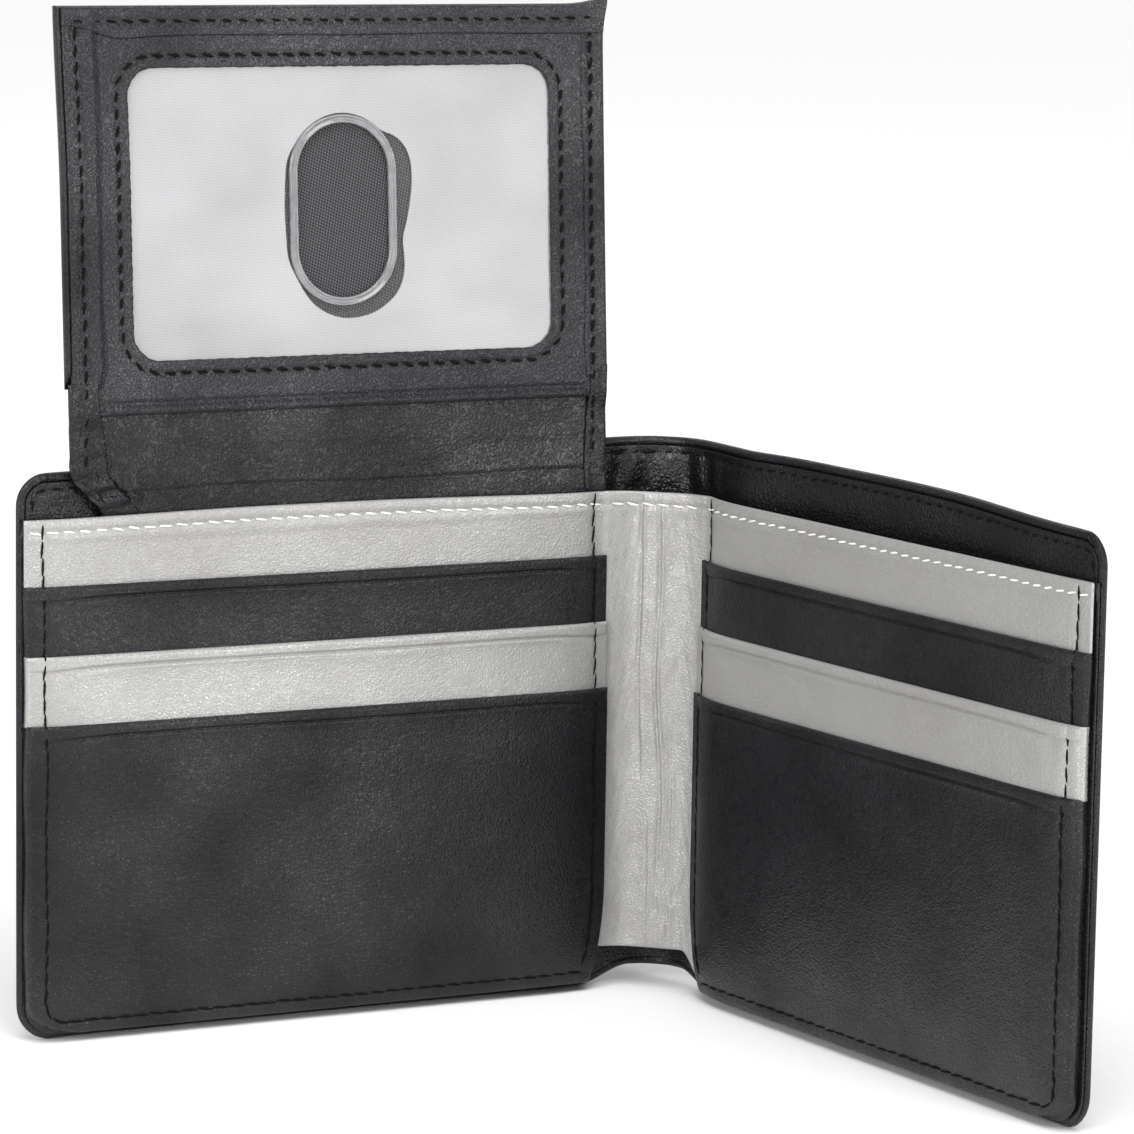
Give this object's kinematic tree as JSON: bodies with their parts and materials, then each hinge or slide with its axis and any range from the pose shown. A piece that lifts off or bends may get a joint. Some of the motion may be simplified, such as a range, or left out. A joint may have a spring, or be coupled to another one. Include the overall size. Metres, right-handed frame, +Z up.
{
  "type": "folding wallet",
  "caption": "Leather wallet of two pocket panels on a narrow spine, standing open, with a clear-windowed card leaf that flips up from one half.",
  "frame": {"origin": "middle of the standing wallet's box, on the surface that it stands on", "axes": "+Z up; the left half lies along X with its pockets facing -Y, and the right half comes forward along -Y"},
  "size_m": [0.1304, 0.1174, 0.1634],
  "materials": {
    "black_leather": "fine-grained coated leather, satin",
    "silver_leather": "pearl silver coated leather, satin",
    "cover_lining": "thin smooth coated lining, satin",
    "pocket_cloth": "thin woven pocket cloth, matt",
    "woven_lining": "basket-woven nylon cloth, matt",
    "clear_vinyl": "clear sheet with a fine pressed weave, glossy",
    "fibre_board": "bonded fibre stiffener, matt",
    "black_thread": "twisted polyester thread",
    "white_thread": "twisted polyester thread"
  },
  "bodies": {
    "left_half": {"left_cover": "black_leather", "left_cover_board": "fibre_board", "left_cover_lining": "cover_lining", "left_turned_edge": "black_leather", "left_backing": "silver_leather", "left_backing_board": "fibre_board", "left_backing_lining": "pocket_cloth", "left_upper_pocket": "black_leather", "left_upper_pocket_bag": "pocket_cloth", "left_middle_pocket": "silver_leather", "left_middle_pocket_bag": "pocket_cloth", "left_front_pocket": "black_leather", "left_edge_stitching": "black_thread", "left_spine_side_stitching": "black_thread", "left_band_stitching": "white_thread", "left_cover_stitching": "black_thread", "flap_anchor_hem": "black_leather"},
    "spine": {"spine_cover": "black_leather", "spine_cover_lining": "cover_lining", "spine_strip": "silver_leather", "spine_strip_lining": "pocket_cloth", "spine_band_stitching": "white_thread", "spine_cover_stitching": "black_thread"},
    "right_half": {"right_cover": "black_leather", "right_cover_board": "fibre_board", "right_cover_lining": "cover_lining", "right_turned_edge": "black_leather", "right_backing": "silver_leather", "right_backing_board": "fibre_board", "right_backing_lining": "pocket_cloth", "right_upper_pocket": "black_leather", "right_upper_pocket_bag": "pocket_cloth", "right_middle_pocket": "silver_leather", "right_middle_pocket_bag": "pocket_cloth", "right_front_pocket": "black_leather", "right_edge_stitching": "black_thread", "right_spine_side_stitching": "black_thread", "right_band_stitching": "white_thread", "right_cover_stitching": "black_thread"},
    "leaf_roll": {"flap_roll": "black_leather"},
    "window_leaf": {"flap_hinge_strip": "black_leather", "flap_back": "black_leather", "flap_lining": "woven_lining", "window_sheet": "clear_vinyl", "thumb_slot_rim": "clear_vinyl", "window_frame": "black_leather", "flap_outer_binding": "black_leather", "flap_inner_binding": "black_leather", "flap_top_hem": "black_leather", "window_stitching": "black_thread", "flap_edge_stitching": "black_thread"}
  },
  "joints": [
    {"name": "spine_fold", "type": "hinge", "parent": "left_half", "child": "spine", "pos_m": [0.03726, 0.0516, 0], "axis": [0, 0, 1], "range_deg": [-49, 41]},
    {"name": "right_fold", "type": "hinge", "parent": "spine", "child": "right_half", "pos_m": [0.0476, 0.04261, 0], "axis": [0, 0, 1], "range_deg": [-49, 41]},
    {"name": "roll_fold", "type": "hinge", "parent": "left_half", "child": "leaf_roll", "pos_m": [-0.01274, 0.0516, 0.08355], "axis": [1, 0, 0], "range_deg": [-1, 92]},
    {"name": "leaf_fold", "type": "hinge", "parent": "leaf_roll", "child": "window_leaf", "pos_m": [-0.01274, 0.05196, 0.08874], "axis": [1, 0, 0], "range_deg": [-1, 92]}
  ],
  "couplings": [
    {"joint": "right_fold", "follows": "spine_fold", "ratio": 1},
    {"joint": "leaf_fold", "follows": "roll_fold", "ratio": 1}
  ]
}
